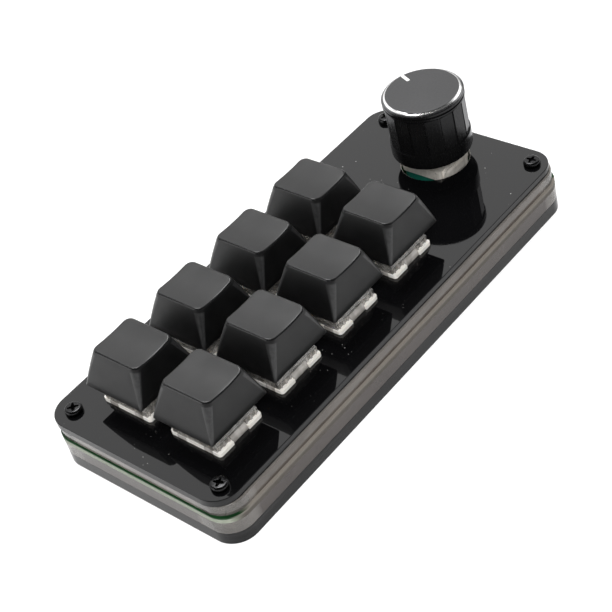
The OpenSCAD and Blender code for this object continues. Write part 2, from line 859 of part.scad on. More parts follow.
module encoder_base() {
    color([0.1, 0.5, 0.4])
        at_knob()
            difference() {
                slab(encoder_w, encoder_d, 0.5, z_board_top, encoder_h);
                rod(rotor_d + 0.3, z_ledge, z_encoder_top + cut);
                rod(tip_d + 1, z_well, z_encoder_top);
            }
}

module encoder_pins() {
    color([0.82, 0.82, 0.8])
        at_knob()
            for (p = encoder_points)
                translate([p[1] * encoder_pin_x, p[0]])
                    union() {
                        box_at(encoder_pin_t, encoder_pin_w, z_board_top - tail_length, z_board_top + 1.2);
                        translate([-p[1] * (encoder_pin_x - encoder_w / 2) / 2, 0])
                            box_at(encoder_pin_x - encoder_w / 2, encoder_pin_w, z_board_top + 0.9,
                                z_board_top + 1.2);
                    }
}

// Folded metal cover with its threaded bushing and two mounting legs
module encoder_cover() {
    inner_w = encoder_w + 2 * cover_gap;
    inner_d = encoder_d + 2 * cover_gap;
    z_skirt = z_encoder_top - cover_lap;
    color([0.75, 0.73, 0.7])
        at_knob()
            difference() {
                union() {
                    slab(cover_w, cover_d, cover_r, z_skirt, z_cover_top - z_skirt);
                    rod(bushing_d, z_cover_top - 0.01, z_bushing);
                    for (s = [-1, 1])
                        translate([0, s * mount_leg_y(), 0]) {
                            box_at(mount_leg_w, cover_sheet, z_board_top, z_skirt + 0.5);
                            box_at(mount_tab_w, cover_sheet, z_board_top - tail_length, z_board_top + 0.1);
                        }
                }
                box_at(inner_w, inner_d, z_board_top - cut, z_encoder_top);
                rod(shaft_d + 2 * shaft_gap, z_encoder_top - cut, z_bushing + cut);
            }
}

module encoder_rotor() {
    color([0.85, 0.85, 0.8])
        at_knob()
            difference() {
                rod(rotor_d, z_ledge, z_rotor_top);
                translate([0, 0, z_ledge - cut])
                    linear_extrude(height = rotor_t + 2 * cut)
                        d_section(tip_d, tip_flat, shaft_gap);
                for (i = [0:detents - 1])
                    rotate([0, 0, 360 * i / detents])
                        translate([rotor_d / 2, 0, 0])
                            rod(0.8, z_rotor_top - 0.4, z_rotor_top + cut);
            }
}

module encoder_plunger() {
    color([0.1, 0.1, 0.1])
        at_knob() rod(tip_d, z_plunger, z_tip);
}

// Round section with one flat, widened all round by the gap
module d_section(d, flat, gap) {
    difference() {
        circle(d = d + 2 * gap);
        translate([flat - d / 2 + gap, -d]) square([d, 2 * d]);
    }
}

module encoder_shaft() {
    color([0.78, 0.78, 0.8])
        at_knob()
            union() {
                rod(shaft_d, z_collar, z_core);
                rod(collar_d, z_collar, z_collar + collar_t);
                translate([0, 0, z_tip])
                    linear_extrude(height = z_collar - z_tip + 0.01)
                        d_section(tip_d, tip_flat, 0);
                translate([0, 0, z_core - 0.01])
                    linear_extrude(height = z_shaft_top - z_core + 0.01)
                        d_section(shaft_d, shaft_flat, 0);
            }
}

module knob_core() {
    color([0.05, 0.05, 0.05])
        at_knob()
            difference() {
                rod(core_d, z_core, z_core_top);
                translate([0, 0, z_core - cut])
                    linear_extrude(height = z_shaft_top - z_core + cut + 0.3)
                        d_section(shaft_d, shaft_flat, shaft_gap);
            }
}

z_panel_top = knob_h - bevel_h - rim_h - 2 * groove_w - lip_h;

// Half outline of the knob, from the foot to the crown
knob_outline = [
    [0, 0],
    [knob_r - 0.4, 0],
    [knob_r, 0.4],
    [knob_r, z_panel_top],
    [knob_r - groove_depth, z_panel_top],
    [knob_r - groove_depth, z_panel_top + groove_w],
    [knob_r, z_panel_top + groove_w],
    [knob_r, z_panel_top + groove_w + lip_h],
    [knob_r - groove_depth, z_panel_top + groove_w + lip_h],
    [knob_r - groove_depth, z_panel_top + 2 * groove_w + lip_h],
    [knob_r, z_panel_top + 2 * groove_w + lip_h],
    [knob_r, knob_h - bevel_h],
    [knob_top_d / 2, knob_h],
    [0, knob_h]
];

// What the grip panels and the grooves between them remove
module panel_cut() {
    apothem = knob_r - panel_depth;
    corner = apothem / cos(180 / panels);
    difference() {
        circle(r = knob_r + cut);
        polygon([for (i = [0:panels - 1]) corner * [cos(360 * i / panels), sin(360 * i / panels)]]);
    }
    for (i = [0:panels - 1])
        rotate([0, 0, 360 * i / panels])
            translate([knob_r - flute_depth, -flute_w / 2])
                square([flute_depth + cut, flute_w]);
}

// Angle of the first groove between grip panels, as the knob stands at rest
first_flute = 13.7;

module knob_body() {
    color([0.06, 0.06, 0.065])
        at_knob()
            translate([0, 0, z_knob])
                difference() {
                    rotate_extrude($fn = 96) polygon(knob_outline);
                    translate([0, 0, band_h])
                        rotate([0, 0, first_flute])
                            linear_extrude(height = z_panel_top - band_h)
                                panel_cut();
                    rod(knob_bore_d, -cut, z_core - z_knob);
                    rod(core_d + 2 * shaft_gap, -cut, knob_h - knob_crown_t);
                    rotate([0, 0, -mark_angle])
                        translate([-mark_w / 2, knob_top_d / 2 - mark_l, knob_h - mark_depth])
                            cube([mark_w, mark_l + cut, mark_depth + cut]);
                }
}

bottom_plate();
lower_spacer();
circuit_board();
upper_spacer();
top_plate();
top_screws();
standoffs();
bottom_screws();
usb_socket();
controller_chip();
diodes();
contact_pins();
encoder_base();
encoder_pins();
encoder_cover();
encoder_rotor();
encoder_plunger();
encoder_shaft();
knob_core();
knob_body();
for (k = [0:KEYS - 1]) switch_base(k);
for (k = [0:KEYS - 1]) switch_top(k);
for (k = [0:KEYS - 1]) stem(k);
for (k = [0:KEYS - 1]) spring(k);
for (k = [0:KEYS - 1]) keycap(k);
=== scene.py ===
import math

import bmesh
import bpy
from mathutils import Matrix, Vector


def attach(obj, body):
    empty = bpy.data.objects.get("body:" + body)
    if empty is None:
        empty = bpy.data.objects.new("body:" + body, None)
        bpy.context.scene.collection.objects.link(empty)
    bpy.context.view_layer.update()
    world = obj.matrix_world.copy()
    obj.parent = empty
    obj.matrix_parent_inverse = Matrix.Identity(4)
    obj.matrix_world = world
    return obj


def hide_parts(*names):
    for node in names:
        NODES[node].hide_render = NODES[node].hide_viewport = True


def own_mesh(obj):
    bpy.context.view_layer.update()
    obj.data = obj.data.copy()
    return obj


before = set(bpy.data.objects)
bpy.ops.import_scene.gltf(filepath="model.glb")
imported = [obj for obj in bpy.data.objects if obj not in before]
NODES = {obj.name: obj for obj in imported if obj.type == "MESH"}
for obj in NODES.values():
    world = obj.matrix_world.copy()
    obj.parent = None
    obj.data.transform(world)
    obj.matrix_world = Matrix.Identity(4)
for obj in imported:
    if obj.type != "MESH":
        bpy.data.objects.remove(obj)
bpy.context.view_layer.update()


# ---------------------------------------------------------------- sizes, in millimetres

MM = 0.001
KEYS = range(1, 9)

CASE_L, CASE_D, CASE_R = 131.0, 58.2, 6.3
# Top of the bottom sheet, underside and top of the board, underside and top of the top sheet
Z_BOTTOM, Z_BOARD, Z_BOARD_TOP, Z_UNDER, Z_PLATE = 3.6, 7.1, 8.7, 11.7, 13.7
# How far the top sheet and the upper clear frame stand in at the front, and the frame at the left
TOP_SETBACK, FRAME_SETBACK, FRAME_LEFT = 1.2, 0.7, 0.4
FRAME_RAIL, FRAME_BOSS_R = 4.6, 4.2
SCREW_X, SCREW_Y = 60.5, 23.4
SCREWS = [(sx * SCREW_X, sy * SCREW_Y) for sx in (-1, 1) for sy in (-1, 1)]
SCREW_HOLE, SINK_D, SINK_H, SINK_RECESS = 2.8, 5.0, 1.4, 0.2
CUTOUT = 14.0
PITCH_X, PITCH_Y, KEYS_X, KEYS_Y = 21.4, 22.0, -15.1, 0.6
CENTRES = [(KEYS_X + (k % 4 - 1.5) * PITCH_X, KEYS_Y + (0.5 - k // 4) * PITCH_Y) for k in range(8)]
KNOB_X, KNOB_Y, KNOB_HOLE = 52.2, 1.0, 18.14
Z_CAP, Z_KNOB = 19.95, 18.15
# Bevels along the sheets' edges, and the steps round the sheets' corners
EDGE, FRAME_EDGE = 0.12, 0.05
CORNER_FINE = 14

# ---------------------------------------------------------------- materials


def new_material(name, color, roughness, **sockets):
    """A Principled material; sockets are given by name with spaces as underscores."""
    mat = bpy.data.materials.new(name)
    mat.use_nodes = True
    shader = mat.node_tree.nodes["Principled BSDF"]
    shader.inputs["Base Color"].default_value = (*color, 1)
    shader.inputs["Roughness"].default_value = roughness
    for key, value in sockets.items():
        shader.inputs[key.replace("_", " ")].default_value = value
    return mat


class Graph:
    """Short calls for building the nodes of a material or a world."""

    def __init__(self, owner, shader="Principled BSDF"):
        self.tree = owner.node_tree
        self.shader = self.tree.nodes[shader]

    def add(self, kind, inputs=None, **settings):
        node = self.tree.nodes.new(kind)
        for key, value in settings.items():
            setattr(node, key, value)
        for key, value in (inputs or {}).items():
            self.put(node, key, value)
        return node

    def put(self, node, key, value):
        if isinstance(value, bpy.types.NodeSocket):
            self.tree.links.new(value, node.inputs[key])
        else:
            node.inputs[key].default_value = value

    def place(self, stretch=(1, 1, 1)):
        """Object coordinates in millimetres, stretched."""
        scale = [s / MM for s in stretch]
        return self.add("ShaderNodeMapping", {"Vector": self.coords(), "Scale": scale}).outputs[0]

    def noise(self, scale, detail=2, rough=0.5, stretch=(1, 1, 1)):
        node = self.add("ShaderNodeTexNoise", {"Vector": self.place(stretch), "Scale": scale,
                                               "Detail": detail, "Roughness": rough})
        return node.outputs["Fac"]

    def ramp(self, value, low, high, out_low=0.0, out_high=1.0, interpolation="LINEAR"):
        node = self.add("ShaderNodeMapRange", {"Value": value, "From Min": low, "From Max": high,
                                               "To Min": out_low, "To Max": out_high},
                        interpolation_type=interpolation)
        return node.outputs[0]

    def math(self, operation, a, b=0.0):
        return self.add("ShaderNodeMath", {0: a, 1: b}, operation=operation).outputs[0]

    def vector(self, operation, a, b=None, output=0):
        inputs = {0: a} if b is None else {0: a, 1: b}
        return self.add("ShaderNodeVectorMath", inputs, operation=operation).outputs[output]

    def vector_length(self, a):
        return self.vector("LENGTH", a, output="Value")

    def coords(self, kind="Object"):
        return self.add("ShaderNodeTexCoord").outputs[kind]

    def split(self, a):
        """The three parts of a vector."""
        return self.add("ShaderNodeSeparateXYZ", {0: a}).outputs

    def mix(self, factor, a, b):
        """Colour from a to b: sockets 6 and 7 are the node's two colours, output 2 its result."""
        node = self.add("ShaderNodeMix", data_type="RGBA")
        self.put(node, 0, factor)
        self.put(node, 6, (*a, 1) if isinstance(a, tuple) else a)
        self.put(node, 7, (*b, 1) if isinstance(b, tuple) else b)
        return node.outputs[2]

    def bump(self, height, strength, distance, normal=None):
        node = self.add("ShaderNodeBump", {"Height": height, "Strength": strength,
                                           "Distance": distance})
        if normal is not None:
            self.put(node, "Normal", normal)
        return node.outputs[0]

    def set(self, key, value):
        self.put(self.shader, key, value)


IOR_ACRYLIC, IOR_CAP = 1.49, 1.46


def specks(g, scale, size):
    """Sparse round specks, in about a quarter of the cells: 1 inside a speck, 0 elsewhere."""
    cells = g.add("ShaderNodeTexVoronoi", {"Vector": g.place(), "Scale": scale, "Randomness": 1.0})
    dot = g.ramp(cells.outputs["Distance"], size, size * 0.5)
    pick = g.add("ShaderNodeSeparateColor", {0: cells.outputs["Color"]})
    chosen = g.math("GREATER_THAN", pick.outputs[0], 0.72)
    return g.math("MULTIPLY", dot, chosen)


def acrylic_face():
    """Polished black sheet with a slight wave, a haze and dust."""
    black, dust_color = (0.0025, 0.0025, 0.0028), (0.3, 0.3, 0.29)
    mat = new_material("black_acrylic_face", black, 0.03, IOR=IOR_ACRYLIC)
    g = Graph(mat)
    fine = g.math("MULTIPLY", specks(g, 1.1, 0.13), g.ramp(g.noise(0.09, 2), 0.58, 0.66))
    dust = g.math("MAXIMUM", specks(g, 0.35, 0.07), fine)
    g.set("Base Color", g.mix(dust, black, dust_color))
    haze = g.ramp(g.noise(0.06, 4, 0.6), 0.35, 0.75, 0.02, 0.06)
    g.set("Roughness", g.math("ADD", haze, g.math("MULTIPLY", dust, 0.5)))
    wave = g.noise(0.03, 1)
    g.set("Normal", g.bump(wave, 0.12, 0.0004))
    return mat


def acrylic_edge():
    """Laser-cut edge of the black sheets: fine upright lines and a soft shine."""
    mat = new_material("black_acrylic_edge", (0.012, 0.012, 0.0125), 0.2, IOR=IOR_ACRYLIC,
                       Specular_IOR_Level=0.21)
    g = Graph(mat)
    lines = g.noise(2.4, 3, 0.6, (1, 1, 0.04))
    bands = g.noise(0.5, 2, 0.5, (0.1, 0.1, 3))
    g.set("Roughness", g.ramp(lines, 0.3, 0.7, 0.10, 0.24))
    g.set("Base Color", g.mix(g.ramp(bands, 0.3, 0.7), (0.006, 0.006, 0.0064),
                              (0.018, 0.018, 0.0188)))
    g.set("Normal", g.bump(lines, 0.25, 0.00004))
    return mat


def clear_acrylic():
    """Cut sides of the clear frames, with painted light and shade: dark along the case and lighter
    at its ends, by which way each side faces. They are darker below the board, and lighter and
    clearer at the screws.
    """
    mat = new_material("clear_acrylic", (0.5, 0.47, 0.44), 0.12, IOR=IOR_ACRYLIC,
                       Transmission_Weight=0.3)
    g = Graph(mat)
    lines = g.noise(1.6, 3, 0.6, (1, 1, 0.05))
    cloud = g.noise(0.12, 3, 0.55, (1, 1, 1.5))
    tone = g.ramp(cloud, 0.3, 0.7)
    normal = g.split(g.add("ShaderNodeNewGeometry").outputs["Normal"])
    # Painted light and shade: faces towards the case's ends take the lighter colour, faces along
    # the case the darker one.
    long_side = g.ramp(g.math("ABSOLUTE", normal[1]), 0.6, 0.95)
    ends = g.mix(tone, (0.16, 0.145, 0.134), (0.225, 0.207, 0.192))
    sides = g.mix(tone, (0.072, 0.06, 0.052), (0.118, 0.102, 0.09))
    place = g.vector("ABSOLUTE", g.coords())
    offset = g.vector("SUBTRACT", place, (SCREW_X * MM, SCREW_Y * MM, 0))
    reach = g.vector_length(g.vector("MULTIPLY", offset, (1, 1, 0)))
    open_from, open_to = 0.0050, 0.0072
    open_corner = g.ramp(reach, open_from, open_to, 1.0, 0.0)
    lower = g.ramp(g.split(place)[2], (Z_BOARD + 0.1) * MM, (Z_BOARD + 0.3) * MM, 0.73, 0.0)
    shade = g.mix(lower, g.mix(long_side, ends, sides), (0.03, 0.02, 0.018))
    g.set("Base Color", g.mix(open_corner, shade, (0.38, 0.355, 0.33)))
    g.set("Transmission Weight", g.ramp(reach, open_from, open_to, 0.75, 0.08))
    g.set("Roughness", g.ramp(lines, 0.3, 0.75, 0.05, 0.22))
    g.set("Normal", g.bump(lines, 0.3, 0.00005))
    return mat


def board():
    """Green mask above and below, with a pale strip of painted light on its front ledge, and a cut
    edge, pale at the ends and brown along the case.
    """
    mat = new_material("circuit_board_mask", (0.006, 0.09, 0.04), 0.3, IOR=1.52,
                       Specular_IOR_Level=0.15)
    g = Graph(mat)
    x, y, z = g.split(g.coords())[:3]
    normal = g.split(g.add("ShaderNodeNewGeometry").outputs["Normal"])
    edge = g.math("LESS_THAN", g.math("ABSOLUTE", normal[2]), 0.5)
    mask_low, core_top, brown_top = 0.0084, 0.0082, 0.0080
    core = g.ramp(z, mask_low, core_top)
    fibre = g.noise(3.0, 2, 0.5, (0.3, 0.3, 4))
    pale = g.mix(g.ramp(fibre, 0.3, 0.7), (0.225, 0.252, 0.203), (0.35, 0.377, 0.305))
    green_end = g.mix(core, (0.008, 0.04, 0.013), pale)
    along = g.ramp(g.math("ABSOLUTE", normal[1]), 0.7, 0.97)
    upper = g.ramp(z, brown_top, mask_low)
    long_side = g.mix(upper, (0.085, 0.076, 0.066), (0.17, 0.155, 0.135))
    cut_face = g.mix(along, green_end, long_side)
    mask = g.mix(g.ramp(g.noise(0.4, 3), 0.35, 0.65), (0.004, 0.026, 0.007), (0.008, 0.045, 0.013))
    # The narrow ledge in front of the upper frame is painted pale instead of green: painted light
    # in the tone of the frame's side
    painted_light_ledge = g.math("MULTIPLY", g.ramp(y, -0.0272, -0.0276), g.ramp(x, -0.0615, -0.0585))
    g.set("Base Color", g.mix(edge, g.mix(painted_light_ledge, mask, (0.22, 0.2, 0.175)), cut_face))
    g.set("Roughness", g.ramp(g.noise(1.5, 2), 0.3, 0.7, 0.4, 0.6))
    g.set("Normal", g.bump(fibre, 0.2, 0.00003))
    return mat


def cap_plastic():
    """Matt black cap with a fine moulded grain."""
    mat = new_material("keycap_plastic", (0.004, 0.004, 0.0041), 0.5, IOR=IOR_CAP,
                       Specular_IOR_Level=0.45)
    g = Graph(mat)
    grain = g.noise(9.0, 2, 0.6)
    patch = g.noise(0.25, 2, 0.5)
    g.set("Roughness", g.ramp(patch, 0.3, 0.7, 0.44, 0.52))
    g.set("Base Color", g.mix(g.ramp(patch, 0.3, 0.7), (0.0032, 0.0032, 0.0033),
                              (0.005, 0.005, 0.0052)))
    g.set("Normal", g.bump(grain, 0.18, 0.00003))
    return mat


def cap_corner():
    """Painted highlight down a cap's rounded corners: lighter and smoother than the rest of the
    cap.
    """
    mat = new_material("keycap_corner", (0.02, 0.02, 0.0205), 0.36, IOR=IOR_CAP)
    g = Graph(mat)
    highlight_noise = g.noise(1.6, 3, 0.6)
    # Painted highlight: the corners are coloured lighter than the rest of the cap.
    g.set("Base Color", g.mix(g.ramp(highlight_noise, 0.3, 0.7), (0.014, 0.014, 0.0144),
                              (0.026, 0.026, 0.0265)))
    g.set("Roughness", g.ramp(highlight_noise, 0.3, 0.7, 0.42, 0.3))
    return mat


def cap_rim():
    """The narrow rounding round a cap's top, which handling has polished."""
    mat = new_material("keycap_rim", (0.006, 0.006, 0.0062), 0.22, IOR=IOR_CAP,
                       Specular_IOR_Level=0.4)
    g = Graph(mat)
    wear = g.noise(1.2, 3, 0.6)
    g.set("Roughness", g.ramp(wear, 0.3, 0.7, 0.18, 0.3))
    return mat


def switch_cream():
    """Pale, slightly waxy housing."""
    mat = new_material("switch_housing", (0.78, 0.74, 0.68), 0.38, IOR=1.5, Subsurface_Weight=0.15,
                       Subsurface_Radius=(0.0012, 0.001, 0.0008), Subsurface_Scale=1.0)
    g = Graph(mat)
    grain = g.noise(4.0, 3, 0.6)
    g.set("Base Color", g.mix(g.ramp(g.noise(0.5, 2), 0.3, 0.7), (0.8, 0.765, 0.71),
                              (0.88, 0.85, 0.8)))
    g.set("Roughness", g.ramp(grain, 0.3, 0.7, 0.32, 0.46))
    g.set("Normal", g.bump(grain, 0.1, 0.00003))
    return mat


def switch_clear(name, dark, light, transmission):
    """Clear moulding with uneven flow and shallow wells, and painted glints and shade: its colour
    goes from dark to light in patches with the wells.
    """
    mat = new_material(name, light, 0.06, IOR=1.58, Transmission_Weight=transmission)
    g = Graph(mat)
    flow = g.noise(0.45, 1, 0.5)
    wells_and_painted_glints = g.noise(0.5, 1, 0.5, (1, 1, 0.5))
    # Painted glints and shade: the colour is dark and light in patches.
    g.set("Base Color", g.mix(g.ramp(wells_and_painted_glints, 0.4, 0.6), dark, light))
    g.set("Roughness", g.ramp(flow, 0.3, 0.7, 0.03, 0.1))
    g.set("Normal", g.bump(g.math("ADD", flow, wells_and_painted_glints), 0.3, 0.0004))
    return mat


def moulded(name, dark, light, roughness, scale=2.0):
    """Dull plastic or resin with a moulded grain."""
    mat = new_material(name, light, roughness, IOR=1.5)
    g = Graph(mat)
    grain = g.noise(scale, 3, 0.6)
    g.set("Base Color", g.mix(g.ramp(grain, 0.3, 0.7), dark, light))
    g.set("Roughness", g.ramp(grain, 0.3, 0.7, roughness - 0.06, roughness + 0.08))
    g.set("Normal", g.bump(g.noise(scale * 4, 2), 0.12, 0.00003))
    return mat


def metal(name, color, roughness, stretch=(1, 1, 1), scale=3.0, worn=0.12):
    """Bare or blackened metal, duller in patches by the share worn."""
    mat = new_material(name, color, roughness, Metallic=1.0)
    g = Graph(mat)
    grain = g.noise(scale, 4, 0.6, stretch)
    dull = tuple(c * (1 - worn) for c in color)
    g.set("Base Color", g.mix(g.ramp(grain, 0.3, 0.7), dull, color))
    g.set("Roughness", g.ramp(grain, 0.3, 0.7, roughness * 0.7, roughness * 1.4))
    g.set("Normal", g.bump(grain, 0.15, 0.00002))
    return mat


def cover_sheet():
    """Dull plated sheet of the encoder's cover, bright where it was rubbed."""
    mat = new_material("encoder_cover_sheet", (0.8, 0.76, 0.7), 0.35, Metallic=0.5, IOR=1.5)
    g = Graph(mat)
    grain = g.noise(1.4, 4, 0.6, (1, 1, 0.5))
    g.set("Base Color", g.mix(g.ramp(grain, 0.3, 0.7), (0.7, 0.66, 0.6), (0.88, 0.84, 0.78)))
    g.set("Roughness", g.ramp(grain, 0.3, 0.7, 0.26, 0.42))
    g.set("Normal", g.bump(grain, 0.15, 0.00003))
    return mat


def knob_side():
    """Black anodised aluminium with faint upright lines."""
    mat = new_material("knob_anodised", (0.008, 0.008, 0.0083), 0.22, Metallic=0.5, IOR=1.45,
                       Specular_Tint=(0.8, 0.8, 0.82, 1))
    g = Graph(mat)
    grain = g.noise(6.0, 3, 0.6, (1, 1, 0.15))
    g.set("Roughness", g.ramp(grain, 0.3, 0.7, 0.18, 0.3))
    g.set("Normal", g.bump(grain, 0.06, 0.00001))
    return mat


def rings_height(g, pitch_mm):
    """Height of fine turned rings about the object's own axis."""
    radius = g.vector_length(g.vector("MULTIPLY", g.coords(), (1, 1, 0)))
    return g.math("SINE", g.math("MULTIPLY", radius, 2 * math.pi / (pitch_mm * MM)))


def knob_top():
    """The knob's face, turned with fine rings."""
    mat = new_material("knob_turned_face", (0.05, 0.05, 0.052), 0.33, Metallic=0.35, IOR=1.6)
    g = Graph(mat)
    rings = rings_height(g, 0.16)
    grain = g.noise(2.0, 3, 0.6)
    g.set("Base Color", g.mix(g.ramp(grain, 0.3, 0.7), (0.022, 0.022, 0.0232),
                              (0.032, 0.032, 0.0335)))
    g.set("Roughness", g.ramp(rings, -1, 1, 0.28, 0.38))
    g.set("Normal", g.bump(rings, 0.2, 0.00001))
    return mat


def knob_bevel(name, color, roughness, pitch_mm, smooth, rough, strength):
    """A turned bevel: its inner part is bright; its outer part is rougher and painted dark, a
    painted dark reflection.
    """
    mat = new_material(name, color, roughness, Metallic=1.0)
    g = Graph(mat)
    rings = rings_height(g, pitch_mm)
    g.set("Roughness", g.ramp(rings, -1, 1, smooth, rough))
    g.set("Normal", g.bump(rings, strength, 0.000006))
    return mat


MATS = {
    "face": acrylic_face(),
    "edge": acrylic_edge(),
    # The pale colour of the knob hole's wall in the black top sheet: painted light where that wall
    # is lit.
    "painted_light_walls": moulded("hole_wall_painted_light", (0.5, 0.48, 0.45), (0.66, 0.64, 0.6), 0.5),
    "clear": clear_acrylic(),
    # The clear frames' flat faces are opaque and painted a warm grey: painted light, so that the
    # narrow front ledge shows like the frame's side.
    "clear_face": moulded("frame_faces_painted_light", (0.15, 0.138, 0.126), (0.2, 0.185, 0.17), 0.4),
    "board": board(),
    "cap": cap_plastic(),
    "cap_corner": cap_corner(),
    "cap_rim": cap_rim(),
    "cream": switch_cream(),
    "cover": switch_clear("switch_cover", (0.46, 0.44, 0.41), (0.86, 0.84, 0.8), 0.8),
    "apron": switch_clear("switch_apron", (0.5, 0.475, 0.445), (0.68, 0.655, 0.62), 0.5),
    "clip": switch_clear("switch_clip", (0.5, 0.47, 0.43), (0.74, 0.71, 0.67), 0.3),
    "stem": moulded("stem_plastic", (0.62, 0.58, 0.52), (0.72, 0.68, 0.62), 0.4),
    "spring": metal("spring_wire", (0.72, 0.72, 0.74), 0.25),
    "screw": metal("blackened_steel", (0.035, 0.035, 0.036), 0.24, worn=0.3),
    "nickel": metal("nickel_plate", (0.74, 0.72, 0.67), 0.28),
    "contact": metal("tinned_brass", (0.76, 0.68, 0.5), 0.3),
    "sheet": metal("stamped_sheet", (0.66, 0.64, 0.6), 0.32, (1, 1, 0.2)),
    "cover_sheet": cover_sheet(),
    "chip": moulded("chip_resin", (0.012, 0.012, 0.013), (0.02, 0.02, 0.021), 0.5),
    "teal": moulded("encoder_resin", (0.006, 0.085, 0.06), (0.01, 0.125, 0.09), 0.42),
    "knob": knob_side(),
    "knob_top": knob_top(),
    "bevel": knob_bevel("knob_bright_bevel", (0.9, 0.9, 0.9), 0.09, 0.09, 0.05, 0.14, 0.15),
    # The outer part of the knob's bevel is painted dark: a painted dark reflection.
    "bevel_band": knob_bevel("knob_bevel_band", (0.2, 0.2, 0.204), 0.2, 0.07, 0.16, 0.28, 0.12),
    "core": moulded("knob_core_resin", (0.015, 0.015, 0.016), (0.025, 0.025, 0.026), 0.45),
    "paint": moulded("index_paint", (0.82, 0.82, 0.8), (0.9, 0.9, 0.88), 0.4),
}

NODE_MATS = {
    "lower_spacer": "clear", "upper_spacer": "clear", "circuit_board": "board",
    "top_plate": "face", "bottom_plate": "face", "top_screws": "screw", "bottom_screws": "screw",
    "standoffs": "nickel", "usb_socket": "sheet", "controller_chip": "chip", "diodes": "chip",
    "contact_pins": "contact", "encoder_base": "teal", "encoder_pins": "contact",
    "encoder_cover": "cover_sheet", "encoder_rotor": "cream", "encoder_plunger": "chip",
    "encoder_shaft": "sheet", "knob_core": "core", "knob_body": "knob",
}
for k in KEYS:
    NODE_MATS[f"switch_base_{k}"] = "cream"
    NODE_MATS[f"switch_top_{k}"] = "cover"
    NODE_MATS[f"stem_{k}"] = "stem"
    NODE_MATS[f"spring_{k}"] = "spring"
    NODE_MATS[f"keycap_{k}"] = "cap"

# The solids' meshes stay as they are and only get their materials
for name, key in NODE_MATS.items():
    data = NODES[name].data
    if not data.materials:
        data.materials.append(MATS[key])
    for i in range(len(data.materials)):
        data.materials[i] = MATS[key]

# ---------------------------------------------------------------- mesh helpers


def finish_mesh(name, bm, mats, centre=(0, 0, 0), sharp=35):
    """Turns bm, drawn in millimetres about centre, into an object placed at centre.

    Edges that turn by more than sharp degrees stay sharp.
    """
    bmesh.ops.recalc_face_normals(bm, faces=bm.faces)
    bmesh.ops.scale(bm, vec=(MM, MM, MM), verts=bm.verts)
    mesh = bpy.data.meshes.new(name)
    bm.to_mesh(mesh)
    bm.free()
    for mat in mats:
        mesh.materials.append(mat)
    mesh.shade_smooth()
    mesh.set_sharp_from_angle(angle=math.radians(sharp))
    obj = bpy.data.objects.new(name, mesh)
    obj.location = [c * MM for c in centre]
    bpy.context.scene.collection.objects.link(obj)
    return obj


def add_ring(bm, points):
    return [bm.verts.new(p) for p in points]


def bridge(bm, a, b, material=0):
    n = len(a)
    for i in range(n):
        face = bm.faces.new((a[i], a[(i + 1) % n], b[(i + 1) % n], b[i]))
        face.material_index = material


def fan(bm, ring, centre, material=0):
    hub = bm.verts.new(centre)
    n = len(ring)
    for i in range(n):
        face = bm.faces.new((ring[i], ring[(i + 1) % n], hub))
        face.material_index = material


def corner_points(w, d, r, cx=0.0, cy=0.0, steps=8, side_steps=0):
    """Rounded rectangle, anticlockwise from its +X side.

    Each corner has steps strips, and each straight side has side_steps points of its own.
    """
    arcs = []
    for q in range(4):
        sx = 1 if q in (0, 3) else -1
        sy = 1 if q < 2 else -1
        angles = [math.pi / 2 * (q + i / steps) for i in range(steps + 1)]
        x, y = cx + sx * (w / 2 - r), cy + sy * (d / 2 - r)
        arcs.append([(x + r * math.cos(a), y + r * math.sin(a)) for a in angles])
    points = []
    for q, arc in enumerate(arcs):
        (x0, y0), (x1, y1) = arc[-1], arcs[(q + 1) % 4][0]
        shares = [(i + 1) / (side_steps + 1) for i in range(side_steps)]
        points += arc + [(x0 + (x1 - x0) * f, y0 + (y1 - y0) * f) for f in shares]
    return points


def circle_points(r, cx, cy, steps):
    angles = [2 * math.pi * i / steps for i in range(steps)]
    return [(cx + r * math.cos(a), cy + r * math.sin(a)) for a in angles]


def sheet_piece(name, contours, z0, z1, edge, sunk=(), painted_light_walls=(),
                mats=("face", "edge", "painted_light_walls")):
    """A flat sheet with softened edges. Each contour is a function of how far it is drawn in.

    A contour in sunk brings its own levels, as pairs of height and inset. One in frosted has a
    wall painted pale, as painted light. mats names the materials of the faces, the cut walls and
    the pale walls.
    """
    bm = bmesh.new()
    # Places of the cut walls' material and of the pale walls' material, which is painted light.
    cut, dull = 1, 2
    levels = [(z0, edge), (z0 + edge, 0), (z1 - edge, 0), (z1, edge)]
    walls = [(contour, levels, cut) for contour in contours]
    walls += [(contour, own_levels, cut) for contour, own_levels in sunk]
    walls += [(contour, levels, dull) for contour in painted_light_walls]
    bottoms, tops = [], []
    for contour, own_levels, material in walls:
        rings = [add_ring(bm, [(x, y, z) for x, y in contour(inset)]) for z, inset in own_levels]
        for a, b in zip(rings, rings[1:]):
            bridge(bm, a, b, material)
        bottoms.append(rings[0])
        tops.append(rings[-1])
    for loops in (bottoms, tops):
        edges = [bm.edges.get(pair) for ring in loops for pair in zip(ring, ring[1:] + ring[:1])]
        bmesh.ops.triangle_fill(bm, edges=edges, use_beauty=True)
    return finish_mesh(name, bm, [MATS[key] for key in mats], sharp=30)


# ---------------------------------------------------------------- sheets of the case


def plate_outline(setback):
    """Outline of a black sheet whose front side stands in by setback."""
    return lambda inset: corner_points(CASE_L - 2 * inset, CASE_D - setback - 2 * inset,
                                       CASE_R - inset, 0, setback / 2, CORNER_FINE)


def round_hole(d, x, y, steps=32):
    return lambda inset: circle_points(d / 2 + inset, x, y, steps)


def square_hole(w, x, y):
    return lambda inset: corner_points(w + 2 * inset, w + 2 * inset, 0.2 + inset, x, y, 3)


